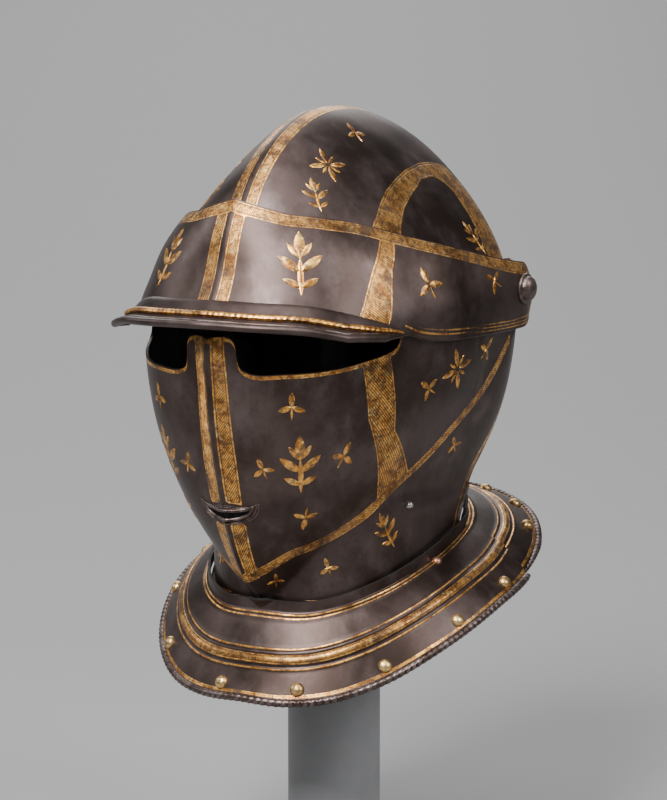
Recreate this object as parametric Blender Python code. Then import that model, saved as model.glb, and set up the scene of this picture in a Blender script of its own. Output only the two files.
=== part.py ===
import bpy
import bmesh
import numpy as np

# Close helmet on a plain stand. Metres, front -Y, wearer's left +X, up +Z.
# Lengths below are millimetres from the pivot axis of the visor unless noted.
MM = 0.001
PIVOT_Y, PIVOT_Z = 38.5, 382.0
HALF_WIDTH = 96.3
PLATE = 1.6
BEVOR_D, GUARD_D, VISOR_D = 2.8, 6.5, 10.1
# How much further out each layer lies near the pivots, so that each turns clear of the one below.
ARM_NEAR, ARM_FAR = 64.0, 104.0
ARM_LAYERS, ARM_OUT = [0, 1.2, 2.8, 4.9, 6.5, 8.5, 10.1], [-2.25, 1.8, 1.8, 1.9, 1.9, 2.8, 2.8]
CLEAR = 0.3
PIVOT_SHANK = 3.4

# Median profile of the skull form: angle above straight ahead, radius from the pivot.
PROFILE = [(-98, 188), (-80, 207), (-60, 216), (-45, 206), (-30, 190.5), (-15, 180), (-4, 174.5), (4, 161),
           (14, 155.5), (25, 151), (38, 142), (54, 128.5), (72, 113.5), (90, 103), (110, 96.5), (135, 92.5),
           (160, 90), (185, 89), (205, 88), (218, 88), (230, 97), (243, 130), (252, 158), (262, 188)]
# Roundness of the form between pivot and ridge.
SHAPE_M = [(-98, 1.7), (-60, 1.55), (-25, 1.88), (5, 1.89), (35, 1.35), (70, 1.3), (110, 1.34), (160, 1.34), (210, 1.6), (262, 1.7)]
SHAPE_N = [(-98, 1.6), (-60, 1.33), (-25, 2.34), (5, 2.33), (35, 1.47), (70, 1.3), (110, 1.48), (160, 1.5), (210, 1.8), (262, 1.6)]
FLAT = 0.15
# Height of the fold beside the ridge by angle, and where it is deepest.
KEEL = [(-98, 0), (-60, 0), (-46, 3.2), (-32, 5), (-8, 5), (2, 1.4), (14, 0.7), (28, 0), (262, 0)]
KEEL_X = 18.0
NECK_Y, NECK_HALF, NECK_FRONT, NECK_REAR = -36.0, 64.0, 82.0, 88.0

# Lower and upper edge of each plate from its arm end to the ridge. "s" gives (y, z) seen from
# the side, "f" gives (x, z) seen from the front, "r" gives the angle on the ridge.
VISOR_EDGES = [("s", 19, -8, "s", 19, 1), ("s", 15.5, -15, "s", 15.5, 8), ("s", 8, -21.3, "s", 8, 14.3), ("s", -6, -23.1, "s", -4, 16.6),
               ("s", -30, -23.4, "s", -26, 20.4), ("s", -60, -23.4, "s", -52, 26.5), ("s", -85, -23.1, "s", -74, 32.3),
               ("s", -100, -20.8, "s", -88, 36.4), ("s", -113, -15.5, "s", -100, 40.2), ("s", -126, -9.9, "s", -110, 43.5),
               ("s", -138, -6, "s", -120, 46.5), ("s", -147.5, -2.8, "s", -129, 48.3), ("s", -156, -0.2, "s", -136, 49.8),
               ("s", -163, 1.4, "f", 32, 51.3), ("f", 28, 2.3, "f", 21, 54), ("f", 14, 2.8, "f", 10, 56.6), ("r", 1.0, 0, "r", 21.2, 0)]
GUARD_EDGES = [("s", 17.5, -8, "s", 17.5, 1), ("s", 13, -16.5, "s", 12, 8.5), ("s", 2, -24, "s", 0, 13), ("s", -9, -41, "s", -25, 9),
               ("s", -19, -57, "s", -50, 4), ("s", -36.5, -76.4, "s", -75, -1), ("s", -56, -95.5, "s", -94, -5),
               ("s", -71, -106.8, "s", -106, -7.2), ("s", -78, -112, "s", -111.6, -24.3), ("s", -86.8, -118.8, "s", -117, -28.2),
               ("s", -100, -130, "f", 73, -32.8), ("s", -114.8, -141.5, "f", 61.5, -36.2), ("s", -125, -147.5, "f", 42, -38.3),
               ("s", -132.9, -151.8, "f", 22, -38.5), ("s", -134.3, -153.9, "f", 18.2, -36.4), ("s", -135.6, -156, "f", 15.2, -20.6),
               ("s", -136.9, -158.6, "f", 12.8, -17.9), ("s", -138.0, -161.2, "f", 6.5, -17.6), ("r", -49.7, 0, "r", -5.7, 0)]
BEVOR_EDGES = [("s", 5, 17.5, "s", -5, 17.5), ("s", 13, 13, "s", -13, 12), ("s", 17, 2, "s", -18, 0), ("s", 19.3, -17.5, "s", -19.5, -15),
               ("s", 22.5, -38, "s", -19.5, -32), ("s", 21, -58, "s", -27, -46), ("s", 16, -80, "s", -38, -59), ("s", 9, -100, "s", -50, -71.5),
               ("s", 2.5, -118, "s", -61, -82.5), ("s", -1, -135, "s", -71, -91), ("s", -3, -151.5, "s", -80, -97.5), ("s", -25, -158.5, "s", -92, -107),
               ("s", -50, -164.5, "s", -103, -116), ("s", -72, -169.5, "s", -113, -123.5), ("s", -90, -175.5, "s", -121, -129.8), ("s", -104, -180, "s", -129, -135),
               ("s", -112, -181.3, "s", -135, -138.6), ("s", -116.5, -181.2, "s", -140, -143), ("s", -119.4, -181, "s", -143.2, -147.2), ("r", -56.4, 0, "r", -46, 0)]
# How much closer the visor's upper edge lies to the skull, station by station.
VISOR_HUG = [0, 0, 0, 0, 0.3, 1.0, 2.0, 3.0, 3.8, 4.2, 4.4, 4.4, 4.2, 3.6, 2.8, 1.8, 1.2]
# Skull: share of the radius, first and last angle of the sheet there.
SKULL_SHEET = [(0, -4, 356), (0.1, -4, 356), (0.16, 0, 300), (0.23, 2, 262), (0.3, 3.5, 259), (0.43, 5, 265.5),
               (0.51, 5.8, 270), (0.6, 6.5, 273.5), (0.77, 7, 273), (0.81, 7.2, 268), (0.87, 7.3, 257), (0.93, 7.5, 251),
               (0.975, 7.6, 248), (1.0, 7.7, 246)]
# Mouth slot seen from the front (x, z).
MOUTH_CUT = [(-16, -116.2), (-11, -118), (-5, -119), (0, -119.3), (5, -119), (11, -118), (16, -116.2), (11.5, -120.6), (6, -122.8), (0, -123.5), (-6, -122.8), (-11.5, -120.6)]
# Peak of the visor: distance from the middle, how far it stands out, how far it drops.
PEAK = [(0, 20.5, 13.5), (30, 20.5, 13.5), (48, 19.5, 14), (66, 18.5, 14.6), (80, 9.5, 10.5), (86, 4, 4.5), (90, 1.6, 2.2)]

# Neck plates: heights of the neck seam and of the outer edge by angle from the front.
NECK_Z = [(0, -183), (20, -183), (32, -179.5), (47, -173.5), (66, -166), (94, -157), (125, -147), (150, -135.6), (180, -129.3)]
EDGE_Z = [(0, -231), (12, -231.8), (23, -229), (35, -220.8), (53, -204.5), (78, -186), (99, -175.5), (118, -161), (133, -151.5), (149, -145), (165, -141), (180, -140)]
EDGE_Y, EDGE_HALF, EDGE_FRONT, EDGE_REAR = -10.0, 110.5, 138.5, 121.0
ROWS_T = [0.0, 0.12, 0.3, 0.5, 0.555, 0.655, 0.71, 0.86, 0.97]
BEAD_R = 2.2
COLLAR_D, COLLAR_H, NAPE_EASE = 6.6, 6.0, 0.9
FRONT_SEAM = [(0, 125), (0.12, 123), (1, 99)]
REAR_SEAM = [(0, 127), (0.15, 125), (0.3, 115), (1, 92)]
LINING_FRONT = [-87, -62, -35, -6.5, 15, 38, 63, 89]
LINING_REAR = [128, 145, 162, 180, 198, 215, 232]


def curve(x, pairs, period=None):
    xs = np.array([p[0] for p in pairs], float)
    ys = np.array([p[1] for p in pairs], float)
    if period:
        xs = np.concatenate([xs[-3:-1] - period, xs, xs[1:3] + period])
        ys = np.concatenate([ys[-3:-1], ys, ys[1:3]])
    x = np.asarray(x, float)
    x = np.clip(x, xs[0], xs[-1])
    i = np.clip(np.searchsorted(xs, x, side="right") - 1, 0, len(xs) - 2)
    slope = np.gradient(ys, xs)
    h = xs[i + 1] - xs[i]
    s = (x - xs[i]) / h
    return ((2 * s**3 - 3 * s**2 + 1) * ys[i] + (s**3 - 2 * s**2 + s) * h * slope[i]
            + (-2 * s**3 + 3 * s**2) * ys[i + 1] + (s**3 - s**2) * h * slope[i + 1])


def wrap(theta):
    return np.mod(np.asarray(theta, float) + 98, 360) - 98


def radius(theta):
    return curve(wrap(theta), PROFILE, 360)


def oval(c, s, a, b, e):
    return (np.abs(s / a) ** e + np.abs(c / b) ** e) ** (-1 / e)


def neck_half(y, z, d):
    b = np.where(y < NECK_Y, NECK_FRONT, NECK_REAR) + d
    inside = np.maximum(1 - (np.abs(y - NECK_Y) / b) ** 2.2, 0)
    w = np.clip((-z - 80) / 50, 0, 1)
    return (NECK_HALF + d) * inside ** (1 / 2.2) * w * w * (3 - 2 * w)


def blend(form, neck):
    return (form ** 10 + neck ** 10) ** 0.1


def fall(rho, m):
    return ((rho * rho + FLAT * FLAT) ** (m / 2) - FLAT ** m) / ((1 + FLAT * FLAT) ** (m / 2) - FLAT ** m)


def base_width(rho, theta, d):
    m, n = curve(wrap(theta), SHAPE_M, 360), curve(wrap(theta), SHAPE_N, 360)
    return (HALF_WIDTH + d) * np.maximum(1 - fall(np.clip(rho, 0, 1), m), 0) ** (1 / n)


def half_width(y, z, d):
    theta = wrap(np.degrees(np.arctan2(z, -y)))
    return blend(base_width(np.hypot(y, z) / (radius(theta) + d), theta, d), neck_half(y, z, d))


def plan_radius(phi, z, d):
    c, s = np.cos(np.radians(phi)), np.abs(np.sin(np.radians(phi)))
    low, high = np.zeros(np.broadcast(c, z).shape), np.full(np.broadcast(c, z).shape, 160.0)
    for _ in range(40):
        r = (low + high) / 2
        inside = half_width(NECK_Y - r * c, z + 0 * r, d) > r * s + 1e-3
        low, high = np.where(inside, r, low), np.where(inside, high, r)
    return low


def station(kind, u, v, d):
    if kind == "r":
        r = float(radius(u)) + d
        return np.array([0.0, -r * np.cos(np.radians(u)), r * np.sin(np.radians(u))])
    if kind == "s":
        theta = np.degrees(np.arctan2(v, -u))
        return np.array([float(base_width(np.hypot(u, v) / (radius(theta) + d), theta, d)), u, v])
    near, far = -260.0, 0.0
    for _ in range(50):
        y = (near + far) / 2
        theta = np.degrees(np.arctan2(v, -y))
        wide = float(base_width(np.hypot(y, v) / (radius(theta) + d), theta, d)) > u
        near, far = (near, y) if wide else (y, far)
    return np.array([u, y, v])


def project(points, d):
    x, y, z = points[..., 0], points[..., 1], points[..., 2]
    theta = wrap(np.degrees(np.arctan2(z, -y)))
    m, n = curve(theta, SHAPE_M, 360), curve(theta, SHAPE_N, 360)
    r = np.hypot(y, z)
    low, high = np.full(x.shape, 0.2), np.full(x.shape, 5.0)
    for _ in range(60):
        k = (low + high) / 2
        out = (k * x / (HALF_WIDTH + d)) ** n + fall(k * r / (radius(theta) + d), m) > 1
        low, high = np.where(out, low, k), np.where(out, k, high)
    return theta, k * x / (HALF_WIDTH + d), k * r / (radius(theta) + d)


def arm_ease(r, d):
    share = np.clip((ARM_FAR - r) / (ARM_FAR - ARM_NEAR), 0, 1)
    return np.interp(d, ARM_LAYERS, ARM_OUT) * share * share * (3 - 2 * share)


def surface(theta, xh, rho, d):
    r = rho * (radius(theta) + d)
    y, z = -r * np.cos(np.radians(theta)), r * np.sin(np.radians(theta))
    x = np.where(xh < 1e-6, 0.0, blend((HALF_WIDTH + d) * xh, neck_half(y, z, d)) + arm_ease(r, d))
    fold = curve(wrap(theta), KEEL) * x / KEEL_X * np.exp(1 - x / KEEL_X) * np.clip(rho * 3 - 1, 0, 1)
    return np.stack([x, y + fold * np.cos(np.radians(theta)), z - fold * np.sin(np.radians(theta))], axis=-1)


def mirror(points):
    return points * np.array([-1.0, 1.0, 1.0])


def belt(edges, d, rows, hug=None):
    low = np.array([station(*e[:3], d) for e in edges])
    high = np.array([station(*e[3:], d) for e in edges])
    v = np.linspace(0, 1, rows)[None, :, None]
    theta, xh, rho = project(low[:, None] * (1 - v) + high[:, None] * v, d)
    if hug is not None:
        d = d - np.array(hug)[:, None] * v[..., 0] ** 2
    xh[-1] = 0.0
    return surface(theta, xh, rho, d), surface(theta, xh, rho, d - PLATE)


def both_sides(columns):
    return columns + [[mirror(p) for p in c] for c in columns[-2::-1]]


def make_object(name, verts, faces, material, place=True):
    mesh = bpy.data.meshes.new(name)
    pts = np.array(verts, float) * MM
    if place:
        pts = pts + np.array([0, PIVOT_Y, PIVOT_Z]) * MM
    mesh.from_pydata([tuple(p) for p in pts], [], faces)
    bm = bmesh.new()
    bm.from_mesh(mesh)
    bmesh.ops.remove_doubles(bm, verts=bm.verts, dist=1e-6)
    bmesh.ops.dissolve_degenerate(bm, edges=bm.edges, dist=1e-7)
    bmesh.ops.recalc_face_normals(bm, faces=bm.faces)
    bm.to_mesh(mesh)
    bm.free()
    mesh.materials.append(material)
    obj = bpy.data.objects.new(name, mesh)
    bpy.context.scene.collection.objects.link(obj)
    return obj


def prism(name, outline, axis, low, high):
    n = len(outline)
    verts = []
    for level in (low, high):
        for u, v in outline:
            verts.append((level, u, v) if axis == "X" else (u, level, v))
    faces = [[i, (i + 1) % n, n + (i + 1) % n, n + i] for i in range(n)] + [list(range(n)), list(range(2 * n - 1, n - 1, -1))]
    return make_object(name, verts, faces, steel)


def revolve(name, profile, material, segments=24, frame=None, place=True):
    ring = []
    for r, h in profile:
        if r < 1e-6:
            ring.append([(0.0, 0.0, h)])
        else:
            ring.append([(r * np.cos(t), r * np.sin(t), h) for t in np.arange(segments) * 2 * np.pi / segments])
    verts, index, faces = [], [], []
    for row in ring:
        index.append(list(range(len(verts), len(verts) + len(row))))
        verts.extend(row)
    for a, b in zip(index, index[1:]):
        for k in range(segments):
            q = [a[k % len(a)], a[(k + 1) % len(a)], b[(k + 1) % len(b)], b[k % len(b)]]
            q = list(dict.fromkeys(q))
            if len(q) > 2:
                faces.append(q)
    verts = np.array(verts)
    if frame is not None:
        origin, axis = frame
        axis = np.array(axis, float) / np.linalg.norm(axis)
        side = np.cross(axis, [0, 0, 1.0]) if abs(axis[2]) < 0.9 else np.cross(axis, [1.0, 0, 0])
        side /= np.linalg.norm(side)
        verts = np.array(origin) + verts @ np.stack([side, np.cross(axis, side), axis])
    return make_object(name, verts, faces, material, place)


def loft(name, columns, material):
    n, m = len(columns), len(columns[0])
    verts = [p for col in columns for p in col]
    faces = []
    for i in range(n - 1):
        for j in range(m):
            k = (j + 1) % m
            faces.append([i * m + j, i * m + k, (i + 1) * m + k, (i + 1) * m + j])
    joined = [np.allclose(columns[0][j], columns[-1][j], atol=1e-3) for j in range(m)]
    for base in (0, (n - 1) * m):
        for j in range(m // 2):
            if joined[j] and joined[j + 1]:
                continue
            q = list(dict.fromkeys([base + j, base + j + 1, base + m - 2 - j, base + m - 1 - j]))
            if len(q) > 2:
                faces.append(q)
    return make_object(name, verts, faces, material)


def make_skull(rows):
    share = np.array([p[0] for p in SKULL_SHEET])
    columns = []
    for v in 1 - (1 - np.linspace(0, 1, rows)) ** 1.2:
        theta = np.array([p[1] + v * (p[2] - p[1]) for p in SKULL_SHEET])
        outer, inner = [], []
        for d, row in ((0.0, outer), (-PLATE, inner)):
            r = share * (radius(theta) + d)
            r[0] = PIVOT_SHANK + CLEAR
            rho = r / (radius(theta) + d)
            xh = base_width(rho, theta, d) / (HALF_WIDTH + d)
            xh[-1] = 0.0
            row.extend(surface(theta, xh, rho, d))
        ring = outer + [mirror(p) for p in outer[-2::-1]] + [mirror(p) for p in inner[:-1]] + inner[::-1]
        columns.append(ring)
    return loft("skull", columns, steel)


def apply_boolean(obj, cutter, operation):
    mod = obj.modifiers.new("cut", "BOOLEAN")
    mod.operation = operation
    mod.solver = "EXACT"
    mod.object = cutter
    graph = bpy.context.evaluated_depsgraph_get()
    mesh = bpy.data.meshes.new_from_object(obj.evaluated_get(graph))
    obj.modifiers.remove(mod)
    obj.data = mesh
    bpy.data.objects.remove(cutter, do_unlink=True)
    bm = bmesh.new()
    bm.from_mesh(obj.data)
    bmesh.ops.remove_doubles(bm, verts=bm.verts, dist=2e-6)
    bmesh.ops.dissolve_degenerate(bm, edges=bm.edges, dist=2e-6)
    bm.to_mesh(obj.data)
    bm.free()


def drill(obj, r, side):
    hole = revolve("hole", [(0, 80), (r, 80), (r, 125), (0, 125)], steel, 16, ((0, 0, 0), (side, 0, 0)))
    apply_boolean(obj, hole, "DIFFERENCE")


def plate(name, edges, d, rows, material):
    outer, inner = belt(edges, d, rows)
    columns = [list(o) + list(i[::-1]) for o, i in zip(outer, inner)]
    return loft(name, both_sides(columns), material)


def paint(name, colour, metallic, roughness):
    mat = bpy.data.materials.new(name)
    mat.use_nodes = True
    bsdf = mat.node_tree.nodes["Principled BSDF"]
    bsdf.inputs["Base Color"].default_value = (*colour, 1)
    bsdf.inputs["Metallic"].default_value = metallic
    bsdf.inputs["Roughness"].default_value = roughness
    return mat


def neck_point(phi, t):
    phi = np.asarray(phi, float)
    c, s = np.cos(np.radians(phi)), np.sin(np.radians(phi))
    at = np.abs(np.mod(phi + 180, 360) - 180)
    nz, ez = curve(at, NECK_Z), curve(at, EDGE_Z)
    rise = COLLAR_H * np.clip(1 - t / 0.12, 0, 1)
    rn = plan_radius(phi, nz + rise, COLLAR_D + NAPE_EASE * np.clip((at - 140) / 30, 0, 1))
    re = oval(c, s, EDGE_HALF, np.where(c > 0, EDGE_FRONT, EDGE_REAR), 2.1)
    u = np.clip((t - 0.12) / 0.88, 0, 1)
    x = rn * s * (1 - u) + re * s * u
    y = (NECK_Y - rn * c) * (1 - u) + (EDGE_Y - re * c) * u
    side = np.clip(at / 80, 0, 1) * np.clip((200 - at) / 60, 0, 1)
    z = nz + (ez - nz) * (u - 0.14 * side * np.sin(np.pi * u)) + rise
    return np.stack(np.broadcast_arrays(x, y, z), axis=-1)


def neck_normal(phi, t):
    t = np.minimum(t, 0.97)
    du = neck_point(phi + 0.5, t) - neck_point(phi - 0.5, t)
    lo, hi = np.maximum(t - 0.03, 0.0), t + 0.03
    dv = neck_point(phi, hi) - neck_point(phi, lo)
    n = np.cross(dv, du)
    return n / np.linalg.norm(n, axis=-1, keepdims=True)


def neck_plate(name, seam, sink, start, stop, count, material, inset=None):
    columns = []
    for k in np.linspace(start, stop, count):
        top, under = [], []
        for t in ROWS_T:
            edge = float(np.interp(t, [p[0] for p in seam], [p[1] for p in seam]))
            phi = k * edge if inset is None else 180 + k * (180 - edge)
            if inset is not None:
                t = t * (1 - inset * np.clip((abs(k) - 0.72) / 0.2, 0, 1))
            p, n = neck_point(phi, t), neck_normal(phi, t)
            rise = 1.4 if t in (0.555, 0.655) else 0.0
            top.append(p - n * (sink - rise))
            under.append(p - n * (sink + PLATE - rise))
        scale = 1.0 if inset is None else 1 - inset * np.clip((abs(k) - 0.72) / 0.2, 0, 1)
        bead_r = BEAD_R if inset is None else BEAD_R - 1.3 * np.clip((abs(k) - 0.72) / 0.2, 0, 1)
        edge = seam[-1][1]
        phi = k * edge if inset is None else 180 + k * (180 - edge)
        n = neck_normal(phi, 0.97)
        out = neck_point(phi, scale) - neck_point(phi, 0.9 * scale)
        out /= np.linalg.norm(out)
        c = neck_point(phi, scale) - n * (sink + PLATE / 2)
        bead = [c + bead_r * (np.cos(a) * n + np.sin(a) * out) for a in np.radians([10, 50, 90, 130, 170])]
        columns.append(top + bead + under[::-1])
    return loft(name, columns, material)


def rivet(name, point, normal, r, height, material, gap=0.25, segments=8):
    base = np.array(point) + np.array(normal) * gap
    profile = [(0, 0), (r, 0), (r * 0.96, height * 0.35), (r * 0.68, height * 0.8), (0, height)]
    return revolve(name, profile, material, segments, (base, normal))


def side_point(y, z, d):
    x = float(half_width(y, z, d))
    e = 0.5
    gy = (half_width(y + e, z, d) - half_width(y - e, z, d)) / (2 * e)
    gz = (half_width(y, z + e, d) - half_width(y, z - e, d)) / (2 * e)
    n = np.array([1.0, -float(gy), -float(gz)])
    return np.array([x, y, z]), n / np.linalg.norm(n)


def visor_columns(rows):
    outer, inner = belt(VISOR_EDGES, VISOR_D, rows, VISOR_HUG)
    columns = []
    for i in range(len(outer)):
        b, under_wall = outer[i][0], inner[i][0]
        ahead = outer[i + 1][0] - b if i + 1 < len(outer) else mirror(outer[i - 1][0]) - b
        behind = b - outer[i - 1][0] if i else ahead
        along = (ahead + behind) * np.array([1, 1, 0])
        out = np.array([-along[1], along[0], 0.0]) if i + 1 < len(outer) else np.array([0, -1.0, 0])
        out = out / np.linalg.norm(out)
        down = np.array([0, 0, -1.0])
        stand = float(np.interp(abs(b[0]), [p[0] for p in PEAK], [p[1] for p in PEAK]))
        drop = float(np.interp(abs(b[0]), [p[0] for p in PEAK], [p[2] for p in PEAK]))
        if abs(b[0]) > 91:
            mid, half = (b + under_wall) / 2, (b - under_wall) / 2
            peak = [mid + half * np.cos(a) + down * 0.8 * np.sin(a) for a in np.linspace(0, np.pi, 13)[1:-1]]
        else:
            k = min(1.0, stand / 10)
            c = b + out * (stand - 2.2 * k) + down * (drop - 1.2 * k)
            r = 2.3 * (0.3 + 0.7 * k)
            peak = [b + out * (u * stand) + down * (w * drop) for u, w in ((0.12, 0.14), (0.42, 0.52), (0.78, 0.86))]
            peak += [c + r * (np.sin(a) * out - np.cos(a) * down) for a in np.radians([-10, 40, 90, 140, 190])]
            peak += [b + out * (u * stand) + down * (w * drop + 1.7) for u, w in ((0.74, 0.86), (0.38, 0.52), (0.0, 0.14))]
        columns.append(list(outer[i][::-1]) + peak + list(inner[i]))
    return columns


for item in list(bpy.data.objects):
    bpy.data.objects.remove(item, do_unlink=True)

steel = paint("patinated_steel", (0.10, 0.085, 0.08), 0.85, 0.45)
brass = paint("brass", (0.62, 0.45, 0.2), 0.9, 0.35)
bright = paint("bare_steel", (0.5, 0.49, 0.47), 0.9, 0.35)
copper = paint("copper", (0.5, 0.27, 0.17), 0.9, 0.4)
grey = paint("grey_paint", (0.35, 0.35, 0.35), 0.0, 0.5)

# The four plates that share the pivots
make_skull(25)
bevor = plate("bevor", BEVOR_EDGES, BEVOR_D, 10, steel)
guard = plate("face_guard", GUARD_EDGES, GUARD_D, 10, steel)
visor = loft("visor", both_sides(visor_columns(5)), steel)
for obj in (bevor, guard, visor):
    drill(obj, PIVOT_SHANK + CLEAR, 1)
    drill(obj, PIVOT_SHANK + CLEAR, -1)
apply_boolean(guard, prism("mouth", MOUTH_CUT, "Y", -230, -120), "DIFFERENCE")

# Neck plates
neck_plate("gorget_front", FRONT_SEAM, 0.0, -1, 1, 29, steel)
neck_plate("gorget_rear", REAR_SEAM, PLATE + 0.9, -1, 1, 19, steel, inset=0.04)

# Pivot rivets
for side, name in ((1, "pivot_left"), (-1, "pivot_right")):
    face = HALF_WIDTH + VISOR_D + ARM_OUT[-1] + CLEAR
    revolve(name, [(0, 87.4), (6.5, 87.4), (6.5, 90.6), (PIVOT_SHANK, 90.6), (PIVOT_SHANK, face), (8.6, face), (8.6, face + 1.2),
                   (7.6, face + 3.4), (4.6, face + 5.3), (0, face + 6.0)], steel, 18, ((0, 0, 0), (side, 0, 0)))

# Lining rivets, joining rivets and the stud
for i, phi in enumerate(LINING_FRONT):
    rivet("lining_rivet_front_%d" % (i + 1), neck_point(phi, 0.88), neck_normal(phi, 0.88), 4.0, 3.0, brass)
for i, phi in enumerate(LINING_REAR):
    n = neck_normal(phi, 0.87)
    rivet("lining_rivet_rear_%d" % (i + 1), neck_point(phi, 0.87) - n * (PLATE + 0.9), n, 4.0, 3.0, brass)
for side, name in ((1, "join_rivet_left"), (-1, "join_rivet_right")):
    rivet(name, neck_point(side * 83, 0.19), neck_normal(side * 83, 0.19), 2.8, 2.0, copper)
p, n = side_point(-65.0, -125.5, BEVOR_D)
rivet("catch_stud", p, n, 2.6, 3.2, bright, 0.7)

# Stand, measured from the floor under its own axis
TOP = PIVOT_Z + 104.5
revolve("stand", [(0, 0), (95, 0), (95, 10), (93, 12), (28.5, 12), (28.5, 212), (26.5, 214), (8, 214), (8, TOP - 27), (17, TOP - 22),
                  (17, TOP - 16), (13, TOP - 9), (7.5, TOP - 4), (0, TOP - 1.5)], grey, 24, None, place=False)
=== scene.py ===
import math

import bmesh
import bpy
import numpy as np
from mathutils import Matrix, Vector
from mathutils.bvhtree import BVHTree


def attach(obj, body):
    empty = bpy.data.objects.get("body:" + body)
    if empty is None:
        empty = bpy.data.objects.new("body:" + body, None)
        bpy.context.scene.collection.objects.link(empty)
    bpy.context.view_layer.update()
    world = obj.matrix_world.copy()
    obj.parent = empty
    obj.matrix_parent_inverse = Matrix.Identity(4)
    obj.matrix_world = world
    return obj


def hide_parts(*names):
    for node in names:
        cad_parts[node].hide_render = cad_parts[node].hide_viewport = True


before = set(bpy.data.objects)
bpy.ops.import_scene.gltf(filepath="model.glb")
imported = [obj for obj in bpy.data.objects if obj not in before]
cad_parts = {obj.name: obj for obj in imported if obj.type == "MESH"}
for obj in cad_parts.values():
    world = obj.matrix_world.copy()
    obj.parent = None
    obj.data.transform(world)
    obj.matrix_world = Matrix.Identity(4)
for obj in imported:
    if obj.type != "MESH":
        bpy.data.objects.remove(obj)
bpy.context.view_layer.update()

# Sizes of the helmet in millimetres from the pivot axis, the same as in the solids.
# Front is -Y, the wearer's left +X, and the tables run along the angle above straight ahead.
MM = 0.001
PIVOT_Y, PIVOT_Z = 38.5, 382.0
HALF_WIDTH = 96.3
PLATE = 1.6
BEVOR_D, GUARD_D, VISOR_D = 2.8, 6.5, 10.1
# How much further out each layer lies near the pivots, so that each turns clear of the one below.
ARM_NEAR, ARM_FAR = 64.0, 104.0
ARM_LAYERS, ARM_OUT = [0, 1.2, 2.8, 4.9, 6.5, 8.5, 10.1], [-2.25, 1.8, 1.8, 1.9, 1.9, 2.8, 2.8]
PIVOT_SHANK, CLEAR = 3.4, 0.3
PROFILE = [(-98, 188), (-80, 207), (-60, 216), (-45, 206), (-30, 190.5), (-15, 180), (-4, 174.5), (4, 161),
           (14, 155.5), (25, 151), (38, 142), (54, 128.5), (72, 113.5), (90, 103), (110, 96.5), (135, 92.5),
           (160, 90), (185, 89), (205, 88), (218, 88), (230, 97), (243, 130), (252, 158), (262, 188)]
SHAPE_M = [(-98, 1.7), (-60, 1.55), (-25, 1.88), (5, 1.89), (35, 1.35), (70, 1.3), (110, 1.34), (160, 1.34),
           (210, 1.6), (262, 1.7)]
SHAPE_N = [(-98, 1.6), (-60, 1.33), (-25, 2.34), (5, 2.33), (35, 1.47), (70, 1.3), (110, 1.48), (160, 1.5),
           (210, 1.8), (262, 1.6)]
FLAT = 0.15
KEEL = [(-98, 0), (-60, 0), (-46, 3.2), (-32, 5), (-8, 5), (2, 1.4), (14, 0.7), (28, 0), (262, 0)]
KEEL_X = 18.0
NECK_Y, NECK_HALF, NECK_FRONT, NECK_REAR = -36.0, 64.0, 82.0, 88.0

# Lower and upper edge of each plate from its arm end to the ridge, as in the solids:
# "s" gives (y, z) from the side, "f" gives (x, z) from the front, "r" the angle on the ridge.
VISOR_EDGES = [("s", 19, -8, "s", 19, 1), ("s", 15.5, -15, "s", 15.5, 8), ("s", 8, -21.3, "s", 8, 14.3),
               ("s", -6, -23.1, "s", -4, 16.6), ("s", -30, -23.4, "s", -26, 20.4), ("s", -60, -23.4, "s", -52, 26.5),
               ("s", -85, -23.1, "s", -74, 32.3), ("s", -100, -20.8, "s", -88, 36.4), ("s", -113, -15.5, "s", -100, 40.2),
               ("s", -126, -9.9, "s", -110, 43.5), ("s", -138, -6, "s", -120, 46.5), ("s", -147.5, -2.8, "s", -129, 48.3),
               ("s", -156, -0.2, "s", -136, 49.8), ("s", -163, 1.4, "f", 32, 51.3), ("f", 28, 2.3, "f", 21, 54),
               ("f", 14, 2.8, "f", 10, 56.6), ("r", 1.0, 0, "r", 21.2, 0)]
GUARD_EDGES = [("s", 17.5, -8, "s", 17.5, 1), ("s", 13, -16.5, "s", 12, 8.5), ("s", 2, -24, "s", 0, 13),
               ("s", -9, -41, "s", -25, 9), ("s", -19, -57, "s", -50, 4), ("s", -36.5, -76.4, "s", -75, -1),
               ("s", -56, -95.5, "s", -94, -5), ("s", -71, -106.8, "s", -106, -7.2), ("s", -78, -112, "s", -111.6, -24.3),
               ("s", -86.8, -118.8, "s", -117, -28.2), ("s", -100, -130, "f", 73, -32.8), ("s", -114.8, -141.5, "f", 61.5, -36.2),
               ("s", -125, -147.5, "f", 42, -38.3), ("s", -132.9, -151.8, "f", 22, -38.5), ("s", -134.3, -153.9, "f", 18.2, -36.4),
               ("s", -135.6, -156, "f", 15.2, -20.6), ("s", -136.9, -158.6, "f", 12.8, -17.9), ("s", -138.0, -161.2, "f", 6.5, -17.6),
               ("r", -49.7, 0, "r", -5.7, 0)]
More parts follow.
